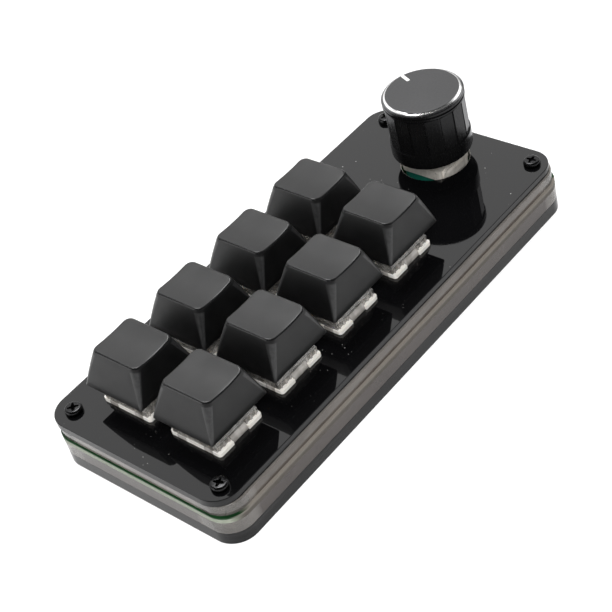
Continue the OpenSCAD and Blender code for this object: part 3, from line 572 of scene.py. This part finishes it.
def top_plate():
    """The top sheet, with its cutouts, screw holes and the knob's hole, whose wall is painted pale
    as painted light.
    """
    contours = [plate_outline(TOP_SETBACK)]
    contours += [round_hole(SCREW_HOLE, x, y) for x, y in SCREWS]
    contours += [square_hole(CUTOUT, x, y) for x, y in CENTRES]
    # The knob hole's wall is painted pale: painted light.
    painted_light_walls = [round_hole(KNOB_HOLE, KNOB_X, KNOB_Y, 96)]
    piece = sheet_piece("top_sheet", contours, Z_UNDER, Z_PLATE, EDGE, (), painted_light_walls)
    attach(piece, "case")
    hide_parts("top_plate")


def frame_outline(inset):
    return corner_points(CASE_L - FRAME_LEFT - 2 * inset, CASE_D - FRAME_SETBACK - 2 * inset,
                         CASE_R - inset, FRAME_LEFT / 2, FRAME_SETBACK / 2, CORNER_FINE)


def frame_opening(inset):
    """The clear frame's opening, cut in at each corner by the boss round the screw."""
    half_l, half_d = CASE_L / 2 - FRAME_RAIL + inset, CASE_D / 2 - FRAME_RAIL + inset
    sx, sy = SCREWS[-1]
    r = FRAME_BOSS_R - inset
    a0 = math.atan2(-math.sqrt(r * r - (half_l - sx) ** 2), half_l - sx)
    a1 = math.atan2(half_d - sy, -math.sqrt(r * r - (half_d - sy) ** 2)) - 2 * math.pi
    arc_steps = 12
    arc = [a0 + (a1 - a0) * i / arc_steps for i in range(arc_steps + 1)]
    corner = [(sx + r * math.cos(a), sy + r * math.sin(a)) for a in arc]
    back_left = [(-x, y) for x, y in reversed(corner)]
    front_left = [(-x, -y) for x, y in corner]
    front_right = [(x, -y) for x, y in reversed(corner)]
    return corner + back_left + front_left + front_right


def upper_frame():
    """The upper clear frame, whose left side stands in so that the board's green rim shows."""
    contours = [frame_outline, frame_opening] + [round_hole(SCREW_HOLE, x, y) for x, y in SCREWS]
    piece = sheet_piece("clear_frame", contours, Z_BOARD_TOP, Z_UNDER, FRAME_EDGE,
                        mats=("clear_face", "clear"))
    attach(piece, "case")
    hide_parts("upper_spacer")


def bottom_plate():
    """The bottom sheet, with a countersink round each screw hole."""
    wide, soft = (SINK_D - SCREW_HOLE) / 2, 0.08
    levels = [(0.0, wide + soft), (soft, wide), (SINK_RECESS, wide), (SINK_RECESS + SINK_H, 0),
              (Z_BOTTOM - EDGE, 0), (Z_BOTTOM, EDGE)]
    sunk = [(round_hole(SCREW_HOLE, x, y), levels) for x, y in SCREWS]
    piece = sheet_piece("bottom_sheet", [plate_outline(0)], 0.0, Z_BOTTOM, EDGE, sunk)
    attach(piece, "case")
    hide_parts("bottom_plate")


top_plate()
upper_frame()
bottom_plate()

# ---------------------------------------------------------------- screws

HEAD_R, HEAD_H, CROWN_R = 2.2, 1.4, 1.6
SHANK_R, THREAD_R, THREAD_PITCH, SHANK_END = 1.25, 1.08, 0.45, 5.6
HEAD_PROFILE = [(1.84, HEAD_H - 0.05), (2.02, HEAD_H - 0.17), (2.13, HEAD_H - 0.36),
                (HEAD_R, HEAD_H - 0.66), (HEAD_R, 0.08), (2.13, 0.01), (SHANK_R, 0.01)]
CROSS_WING = ((1.38, -0.24), (1.38, 0.24), (0.44, 0.44))
CROSS_DEPTH, CROSS_TIP, CROSS_NARROWING = 0.5, 0.9, 0.74
CROSS_TURNS = (18, 50, 4, 66)
HEAD_STEPS = 40


def cross_outline(scale, turn):
    """Outline of a cross recess, with wings that narrow outwards."""
    points = []
    for q in range(4):
        for x, y in CROSS_WING:
            a = math.atan2(y, x) + math.pi / 2 * q + math.radians(turn)
            r = math.hypot(x, y) * scale
            points.append((r * math.cos(a), r * math.sin(a)))
    return points


def add_screw(bm, cx, cy, turn):
    """A pan-head screw with its thread and cross recess."""
    def ring(r, z):
        return add_ring(bm, [(x, y, Z_PLATE + z) for x, y in circle_points(r, cx, cy, HEAD_STEPS)])

    top = ring(CROWN_R, HEAD_H)
    profile = list(HEAD_PROFILE)
    z = -0.3
    while z > SHANK_END - Z_PLATE + 0.5:
        profile += [(SHANK_R, z), (THREAD_R, z - THREAD_PITCH / 2)]
        z -= THREAD_PITCH
    profile += [(SHANK_R, z), (THREAD_R - 0.25, SHANK_END - Z_PLATE)]
    rings = [top] + [ring(r, level) for r, level in profile]
    for a, b in zip(rings, rings[1:]):
        bridge(bm, a, b)
    fan(bm, rings[-1], (cx, cy, SHANK_END))
    mouth, floor = [
        add_ring(bm, [(cx + x, cy + y, Z_PLATE + z) for x, y in cross_outline(share, turn)])
        for share, z in ((1.0, HEAD_H), (CROSS_NARROWING, HEAD_H - CROSS_DEPTH))]
    edges = [bm.edges.new(pair) for pair in zip(mouth, mouth[1:] + mouth[:1])]
    edges += [bm.edges.get(pair) for pair in zip(top, top[1:] + top[:1])]
    bmesh.ops.triangle_fill(bm, edges=edges, use_beauty=True)
    bridge(bm, mouth, floor)
    fan(bm, floor, (cx, cy, Z_PLATE + HEAD_H - CROSS_TIP))


def screws():
    bm = bmesh.new()
    for (x, y), turn in zip(SCREWS, CROSS_TURNS):
        add_screw(bm, x, y, turn)
    piece = finish_mesh("cross_screws", bm, [MATS["screw"]], sharp=40)
    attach(piece, "case")
    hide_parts("top_screws")


screws()

# ---------------------------------------------------------------- encoder cover's front tongue

COVER_D, TONGUE_W, TONGUE_R = 12.4, 10.2, 1.5
TONGUE_BOTTOM, TONGUE_TOP = 9.2, 15.1
# How far each ring stands out from the cover, and how far it is drawn in from the tongue's outline
TONGUE_RINGS = ((-0.1, 0.0), (0.26, 0.0), (0.38, 0.08), (0.42, 0.25), (0.4, 0.5), (0.14, 0.75),
                (0.08, 1.0), (0.12, 1.3), (0.36, 1.7), (0.4, 2.1))


def cover_tongue():
    """The tongue folded down over the front of the encoder's cover, with a raised field."""
    bm = bmesh.new()
    middle, height = (TONGUE_BOTTOM + TONGUE_TOP) / 2, TONGUE_TOP - TONGUE_BOTTOM
    face = KNOB_Y - COVER_D / 2
    rings = []
    for out, inset in TONGUE_RINGS:
        outline = corner_points(TONGUE_W - 2 * inset, height - 2 * inset,
                                max(TONGUE_R - inset, 0.3), KNOB_X, middle, 8)
        rings.append(add_ring(bm, [(x, face - out, z) for x, z in outline]))
    for a, b in zip(rings, rings[1:]):
        bridge(bm, a, b)
    bm.faces.new(rings[0])
    bm.faces.new(rings[-1])
    piece = finish_mesh("cover_tongue", bm, [MATS["cover_sheet"]], sharp=40)
    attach(piece, "case")


cover_tongue()

# ---------------------------------------------------------------- switch covers' aprons and ribs

APRON_HALF_W, APRON_IN, COVER_FACE, Z_FLANGE = 2.5, 7.07, 6.83, 14.72
Z_FOOT = 13.73
APRON_PROFILE = [(APRON_IN, Z_FOOT), (7.42, Z_FOOT), (7.46, 13.8), (7.42, 14.5), (7.3, 14.95),
                 (7.08, 15.35), (COVER_FACE, 15.7), (COVER_FACE, Z_FLANGE), (APRON_IN, Z_FLANGE)]
# Each rib's distance from the middle and half width
RIBS = [(3.0, 0.2), (4.5, 0.3), (6.15, 0.16)]
RIB_OUT, RIB_TOP = 0.26, 15.95
CLIP_X, CLIP_T, CLIP_Y, CLIP_HALF_W, CLIP_TOP = 6.98, 0.21, 4.1, 1.36, 14.69


def prism_along_x(bm, outline, x0, x1, material=0):
    """A closed solid whose (y, z) outline is drawn out from x0 to x1."""
    ends = [add_ring(bm, [(x, y, z) for y, z in outline]) for x in (x0, x1)]
    bridge(bm, *ends, material)
    for ring in ends:
        bm.faces.new(ring).material_index = material


def cover_aprons():
    """Each clear cover's aprons in the flange's notches, its upright ribs and its clips' faces."""
    rib = [(COVER_FACE, Z_FLANGE), (COVER_FACE + RIB_OUT, Z_FLANGE),
           (COVER_FACE + RIB_OUT * 0.6, RIB_TOP), (COVER_FACE, RIB_TOP)]
    clip = [(-CLIP_HALF_W, Z_FOOT), (CLIP_HALF_W, Z_FOOT), (CLIP_HALF_W, CLIP_TOP),
            (-CLIP_HALF_W, CLIP_TOP)]
    solids = [(APRON_PROFILE, 0, APRON_HALF_W)]
    solids += [(rib, way * x, half) for x, half in RIBS for way in (-1, 1)]
    for k, (cx, cy) in zip(KEYS, CENTRES):
        bm = bmesh.new()
        for side in (-1, 1):
            for outline, x, half in solids:
                face = [(cy + side * y, z) for y, z in outline]
                prism_along_x(bm, face, cx + x - half, cx + x + half)
            for way in (-1, 1):
                face = [(cy + way * CLIP_Y + y, z) for y, z in clip]
                x = cx + side * (CLIP_X + CLIP_T / 2)
                prism_along_x(bm, face, x - CLIP_T / 2, x + CLIP_T / 2, 1)
        piece = finish_mesh(f"cover_apron_{k}", bm, [MATS["apron"], MATS["clip"]], sharp=40)
        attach(piece, "case")


cover_aprons()

# ---------------------------------------------------------------- keycaps

CAP_W, CAP_D, CAP_H = 18.6, 18.6, 10.0
LEAN_X, LEAN_FRONT, LEAN_BACK = 3.1, 1.15, 3.0
BASE_R, TOP_R, BULGE, ROUND, FOOT_ROUND = 0.5, 1.9, 0.12, 0.35, 0.12
DISH, DISH_SLOPE = 0.5, 0.02
CAP_WALL, CAP_ROOF = 1.4, 1.5
CORNER_STEPS, SIDE_STEPS, ROUND_STEPS, DISH_STEPS = 6, 8, 4, 8
# The shares of a side's height at which it has a ring
SIDE_SHARES = (0.0, 0.02, 0.2, 0.4, 0.6, 0.8, 0.93)
# The cap's materials by their place in its list
PLASTIC, PAINTED_HIGHLIGHT, POLISHED = 0, 1, 2


def cap_outline(t, inset):
    """Outline of the cap at the share t of its height."""
    w = CAP_W - 2 * LEAN_X * t
    d = CAP_D - (LEAN_FRONT + LEAN_BACK) * t
    cy = (LEAN_FRONT - LEAN_BACK) / 2 * t
    r = BASE_R + (TOP_R - BASE_R) * t
    swell = 4 * BULGE * t * (1 - t)
    return corner_points(w - 2 * inset + 2 * swell, d - 2 * inset + 2 * swell, max(r - inset, 0.15),
                         0, cy, CORNER_STEPS, SIDE_STEPS)


def dish_depth(x, y):
    """Depth of the finger dish, a little more towards the front."""
    half = CAP_W / 2 - LEAN_X
    return (DISH - DISH_SLOPE * y) * (1 - min(1.0, (x / half) ** 2))


def paint_corner_highlights(bm, a, b):
    """Gives the strips of each rounded corner the material with the painted highlight."""
    per_corner = CORNER_STEPS + 1 + SIDE_STEPS
    for q in range(4):
        for i in range(q * per_corner, q * per_corner + CORNER_STEPS):
            edge = bm.edges.get((a[i], b[i]))
            for face in edge.link_faces:
                if b[i + 1] in face.verts:
                    face.material_index = PAINTED_HIGHLIGHT


def cap_mesh():
    """The hollow cap: leaning sides, a rounded rim, a dished top, and the walls inside."""
    bm = bmesh.new()
    heights = [CAP_H - dish_depth(x, y) for x, y in cap_outline(1, 0)]
    rings = []
    for t in SIDE_SHARES:
        inset = FOOT_ROUND if t == 0 else 0
        shares = [t * (h - ROUND) / CAP_H for h in heights]
        points = [cap_outline(s, inset)[i] for i, s in enumerate(shares)]
        rings.append(add_ring(bm, [(x, y, s * CAP_H) for (x, y), s in zip(points, shares)]))
    for i in range(ROUND_STEPS + 1):
        a = math.pi / 2 * i / ROUND_STEPS
        inset = ROUND * (1 - math.cos(a))
        points = cap_outline(1 - ROUND / CAP_H * (1 - math.sin(a)), inset)
        lift = ROUND * (1 - math.sin(a))
        rings.append(add_ring(bm, [(x, y, CAP_H - dish_depth(x, y) - lift) for x, y in points]))
    w = CAP_W - 2 * LEAN_X
    d = CAP_D - LEAN_FRONT - LEAN_BACK
    cy = (LEAN_FRONT - LEAN_BACK) / 2
    for step in range(1, DISH_STEPS):
        f = 1 - step / DISH_STEPS
        points = corner_points(w * f, d * f, max(TOP_R * f, 0.1), 0, cy, CORNER_STEPS, SIDE_STEPS)
        rings.append(add_ring(bm, [(x, y, CAP_H - dish_depth(x, y)) for x, y in points]))
    sides = len(SIDE_SHARES) - 1
    for level, (a, b) in enumerate(zip(rings, rings[1:])):
        bridge(bm, a, b, POLISHED if sides < level <= sides + ROUND_STEPS else PLASTIC)
        if level < sides:
            paint_corner_highlights(bm, a, b)
    fan(bm, rings[-1], (0, cy, CAP_H - dish_depth(0, cy)))
    ceiling = CAP_H - DISH - CAP_ROOF
    inner = [add_ring(bm, [(x, y, z) for x, y in cap_outline(z / CAP_H, CAP_WALL)])
             for z in (0.0, ceiling * 0.5, ceiling)]
    bridge(bm, rings[0], inner[0])
    for a, b in zip(inner, inner[1:]):
        bridge(bm, a, b)
    fan(bm, inner[-1], (0, 0, ceiling))
    return bm


def add_socket(bm):
    """The round socket under the roof, with its cross slot."""
    bottom, ceiling, outer = 0.35, CAP_H - DISH - CAP_ROOF, 2.75
    arm, half, slot_depth, into_roof = 2.03, 0.63, 3.8, 0.3
    cross = [(arm, -half), (arm, half), (half, half), (half, arm), (-half, arm),
             (-half, half), (-arm, half), (-arm, -half), (-half, -half), (-half, -arm),
             (half, -arm), (half, -half)]
    round_wall = [(x / math.hypot(x, y) * outer, y / math.hypot(x, y) * outer) for x, y in cross]
    wall_foot = add_ring(bm, [(x, y, bottom) for x, y in round_wall])
    wall_top = add_ring(bm, [(x, y, ceiling + into_roof) for x, y in round_wall])
    slot_mouth = add_ring(bm, [(x, y, bottom) for x, y in cross])
    slot_end = add_ring(bm, [(x, y, bottom + slot_depth) for x, y in cross])
    bridge(bm, wall_foot, wall_top)
    bridge(bm, wall_foot, slot_mouth)
    bridge(bm, slot_mouth, slot_end)
    bm.faces.new(slot_end)
    bm.faces.new(wall_top)


def keycap(k, x, y):
    bm = cap_mesh()
    add_socket(bm)
    mats = [MATS["cap"], MATS["cap_corner"], MATS["cap_rim"]]
    piece = finish_mesh(f"cap_{k}", bm, mats, (x, y, Z_CAP), 42)
    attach(piece, f"key_{k}")
    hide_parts(f"keycap_{k}")


for k, (x, y) in zip(KEYS, CENTRES):
    keycap(k, x, y)

# ---------------------------------------------------------------- springs


def coil(k):
    """The return spring: a copy of the solid with a mesh of its own, held by the case."""
    node = NODES[f"spring_{k}"]
    piece = bpy.data.objects.new(f"coil_{k}", node.data.copy())
    bpy.context.scene.collection.objects.link(piece)
    piece.matrix_world = node.matrix_world.copy()
    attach(piece, "case")
    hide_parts(f"spring_{k}")
    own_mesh(piece)


for k in KEYS:
    coil(k)

# ---------------------------------------------------------------- knob

KNOB_R, KNOB_H, KNOB_TOP_R, STEP_H = 10.5, 16.985, 9.4, 0.28
BAND_H, PANEL_TOP, GROOVE, LIP, BEVEL_H = 4.25, 14.3, 0.4, 0.5, 0.7
PANELS, PANEL_DEPTH, FLUTE_W, FLUTE_DEPTH, FIRST_FLUTE = 16, 0.4, 0.5, 0.55, 13.7
KNOB_BORE_R, CORE_R, Z_CORE, CROWN = 8.0, 6.43, 4.65, 1.9
BEVEL_BAND_SHARE = 0.62
MARK_ANGLE, MARK_L, MARK_W = 21, 3.2, 0.9
# The shell's materials by their place in its list
SIDE, TOP, BRIGHT, BAND = 0, 1, 2, 3


def panel_profile():
    """Angle and radius of each point round the panelled stretch of the grip."""
    step, across = 360 / PANELS, 8
    # Degrees taken by half a flute and by one of its sloping walls
    half_flute, wall = math.degrees(FLUTE_W / 2 / KNOB_R), 0.4
    points = []
    for i in range(PANELS):
        start = FIRST_FLUTE + i * step
        points.append((start - half_flute + wall, KNOB_R - FLUTE_DEPTH))
        points.append((start + half_flute - wall, KNOB_R - FLUTE_DEPTH))
        for j in range(across + 1):
            a = half_flute + (step - 2 * half_flute) * j / across
            r = (KNOB_R - PANEL_DEPTH) / math.cos(math.radians(a - step / 2))
            points.append((start + a, r))
    return points


def knob():
    """The turned shell, from its foot up over the grip, two grooves and the bevel to the bore."""
    bm = bmesh.new()
    profile = panel_profile()
    angles = [math.radians(a) for a, r in profile]

    def ring(r, z):
        return add_ring(bm, [(r * math.cos(a), r * math.sin(a), z) for a in angles])

    def panel_ring(z):
        return add_ring(bm, [(r * math.cos(math.radians(a)), r * math.sin(math.radians(a)), z)
                             for a, r in profile])

    def bevel_ring(share):
        outer, inner = KNOB_R - 0.05, KNOB_TOP_R + 0.15
        low, high = KNOB_H - BEVEL_H + 0.02, KNOB_H - STEP_H
        return ring(outer + (inner - outer) * share, low + (high - low) * share)

    r, top = KNOB_R, KNOB_TOP_R
    soft_r, groove_r, step_r = r - 0.05, r - 0.4, r - 0.6
    lip0 = PANEL_TOP + GROOVE
    lip1 = lip0 + LIP
    rim0 = lip1 + GROOVE
    rim1 = KNOB_H - BEVEL_H
    foot = [ring(r - 0.4, 0), ring(r - 0.12, 0.12), ring(r, 0.4), ring(r, BAND_H - 0.06),
            ring(soft_r, BAND_H)]
    grip = [panel_ring(BAND_H), panel_ring(PANEL_TOP), ring(step_r, PANEL_TOP), ring(step_r, lip0)]
    lip = [ring(soft_r, lip0), ring(r, lip0 + 0.05), ring(r, lip1 - 0.05), ring(soft_r, lip1),
           ring(groove_r, lip1), ring(groove_r, rim0)]
    rim = [ring(soft_r, rim0), ring(r, rim0 + 0.05), ring(r, rim1 - 0.2), ring(r, rim1 - 0.05),
           bevel_ring(0)]
    steps = [(points, SIDE) for points in foot + grip + lip + rim]
    steps += [(bevel_ring(BEVEL_BAND_SHARE), BAND), (bevel_ring(1), BRIGHT),
              (ring(top + 0.02, KNOB_H - 0.02), BRIGHT)]
    steps += [(ring(edge, KNOB_H), TOP) for edge in (top - 0.03, top - 0.12, top * 0.7, top * 0.35)]
    for (a, _), (b, material) in zip(steps, steps[1:]):
        bridge(bm, a, b, material)
    fan(bm, steps[-1][0], (0, 0, KNOB_H), TOP)
    inside = [ring(KNOB_BORE_R, 0), ring(KNOB_BORE_R, Z_CORE), ring(CORE_R, Z_CORE),
              ring(CORE_R, KNOB_H - CROWN)]
    bridge(bm, steps[0][0], inside[0])
    for a, b in zip(inside, inside[1:]):
        bridge(bm, a, b)
    fan(bm, inside[-1], (0, 0, KNOB_H - CROWN))
    mats = [MATS["knob"], MATS["knob_top"], MATS["bevel"], MATS["bevel_band"]]
    piece = finish_mesh("knob_shell", bm, mats, (KNOB_X, KNOB_Y, Z_KNOB), 32)
    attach(piece, "knob")
    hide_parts("knob_body")


def knob_mark():
    """The white index line, let into the knob's face at its rim."""
    bm = bmesh.new()
    outline = corner_points(MARK_W, MARK_L, 0.2, 0, KNOB_TOP_R - MARK_L / 2 - 0.02, 4)
    turn = Matrix.Rotation(math.radians(-MARK_ANGLE), 3, "Z")
    rings = [add_ring(bm, [turn @ Vector((x, y, z)) for x, y in outline])
             for z in (KNOB_H - 0.1, KNOB_H + 0.012)]
    bridge(bm, *rings)
    for loop in rings:
        bm.faces.new(loop)
    piece = finish_mesh("knob_index", bm, [MATS["paint"]], (KNOB_X, KNOB_Y, Z_KNOB), 30)
    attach(piece, "knob")


knob()
knob_mark()

# ---------------------------------------------------------------- floor, light and camera

PANEL_WAY = (0.50, 0.60, 0.62)
SKY_LEVEL, PANEL_LEVEL, HORIZON_LEVEL = 0.05, 1.3, 1.0
# The floor's glow for rays that see it, from near the object to far from it, in metres
GLOW_NEAR, GLOW_FAR, NEAR_M, FAR_M = 0.6, 1.0, 0.25, 0.8


def white_floor():
    """A pale floor that takes shadows and glows for camera, glossy and transmission rays."""
    mesh = bpy.data.meshes.new("floor")
    size = 3.0
    corners = [(-size, -size, 0), (size, -size, 0), (size, size, 0), (-size, size, 0)]
    mesh.from_pydata(corners, [], [(0, 1, 2, 3)])
    floor = bpy.data.objects.new("floor", mesh)
    bpy.context.scene.collection.objects.link(floor)
    floor.location.z = -0.0001
    mat = new_material("paper_floor", (0.5, 0.5, 0.5), 0.9, Specular_IOR_Level=0.1)
    g = Graph(mat)
    ray = g.add("ShaderNodeLightPath").outputs
    seen = g.math("MAXIMUM", ray["Is Camera Ray"], ray["Is Glossy Ray"])
    seen = g.math("MAXIMUM", seen, ray["Is Transmission Ray"])
    away = g.ramp(g.vector_length(g.coords()), NEAR_M, FAR_M, GLOW_NEAR, GLOW_FAR)
    glow = g.add("ShaderNodeEmission", {"Color": (1, 1, 1, 1),
                                        "Strength": g.math("MULTIPLY", seen, away)})
    total = g.add("ShaderNodeAddShader", {0: g.shader.outputs[0], 1: glow.outputs[0]})
    g.put(g.tree.nodes["Material Output"], "Surface", total.outputs[0])
    mesh.materials.append(mat)


def studio_world():
    """White at the horizon, dimmer above, with a bright panel over the back right corner."""
    world = bpy.data.worlds.new("studio")
    bpy.context.scene.world = world
    world.use_nodes = True
    g = Graph(world, "Background")
    way = g.coords("Generated")
    towards = g.vector("DOT_PRODUCT", way, PANEL_WAY, "Value")
    panel = g.ramp(towards, 0.72, 0.93, SKY_LEVEL, PANEL_LEVEL, "SMOOTHSTEP")
    low = g.ramp(g.split(way)[2], 0.04, 0.2, 1.0, 0.0, "SMOOTHSTEP")
    # Sockets 2 and 3 are the levels of the sky and of the horizon
    level = g.add("ShaderNodeMix", {0: low, 2: panel, 3: HORIZON_LEVEL}, data_type="FLOAT")
    g.set("Strength", level.outputs[0])
    g.set("Color", (1, 1, 1, 1))


def soft_lamp(name, position, size, power, shine=True):
    """A square lamp that looks at the origin; shine says whether it shows in glossy surfaces."""
    data = bpy.data.lights.new(name, "AREA")
    data.size = size
    data.energy = power
    lamp = bpy.data.objects.new(name, data)
    lamp.visible_glossy = shine
    lamp.visible_camera = False
    lamp.location = position
    lamp.rotation_euler = (-Vector(position)).to_track_quat("-Z", "Y").to_euler()
    bpy.context.scene.collection.objects.link(lamp)


def camera():
    """The photo's camera, as fitted: its lens is in pixels of the 612-pixel picture."""
    data = bpy.data.cameras.new("camera")
    lens_px, picture_px = 1544.23, 612
    data.sensor_width = 36
    data.lens = lens_px / picture_px * data.sensor_width
    data.clip_start = 0.01
    cam = bpy.data.objects.new("camera", data)
    right = Vector((0.622441, -0.753564, -0.211445))
    up = Vector((0.614893, 0.303686, 0.727792))
    forward = Vector((0.484225, 0.583023, -0.652388))
    turn = Matrix((right, up, -forward)).transposed().to_4x4()
    turn.translation = Vector((-0.185395, -0.218210, 0.253466))
    cam.matrix_world = turn
    bpy.context.scene.collection.objects.link(cam)
    bpy.context.scene.camera = cam


white_floor()
studio_world()
soft_lamp("overhead", (0.25, 0.34, 0.88), 0.36, 5.0)
soft_lamp("left", (-0.8, 0.45, 0.25), 0.5, 2.0)
soft_lamp("right", (0.78, -0.08, 0.56), 0.5, 1.1)
soft_lamp("back", (-0.12, 0.85, 0.4), 0.6, 0.42)
soft_lamp("front", (-0.46, -0.6, 0.79), 0.5, 13.0, False)
camera()

bpy.context.scene.view_settings.view_transform = "Standard"
